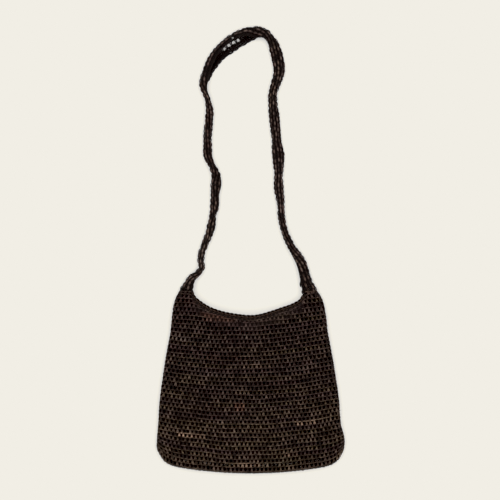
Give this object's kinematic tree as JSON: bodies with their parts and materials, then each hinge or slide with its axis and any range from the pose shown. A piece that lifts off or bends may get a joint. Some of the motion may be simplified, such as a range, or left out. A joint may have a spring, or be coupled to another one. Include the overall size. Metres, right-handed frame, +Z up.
{
  "type": "bilum string bag",
  "caption": "Crocheted string shoulder bag lying flat, a wide pouch with a scooped mouth and a long narrow strap laid out in a loose arch.",
  "frame": {"origin": "on the surface that the bag lies on, under the middle of its whole outline", "axes": "+X to the right of the bag's front, +Y from the base of the pouch towards the top of the strap, +Z up from the surface, out of the bag's front"},
  "size_m": [0.3107, 0.7392, 0.0209],
  "materials": {
    "pouch_string": "matte twisted string, dark brown",
    "edging_string": "matte twisted string, warm dark brown",
    "strap_string": "matte twisted string, dark brown"
  },
  "bodies": {
    "root": {"pouch": "pouch_string", "front_edging": "edging_string", "back_edging": "edging_string", "strap": "strap_string"}
  },
  "joints": []
}
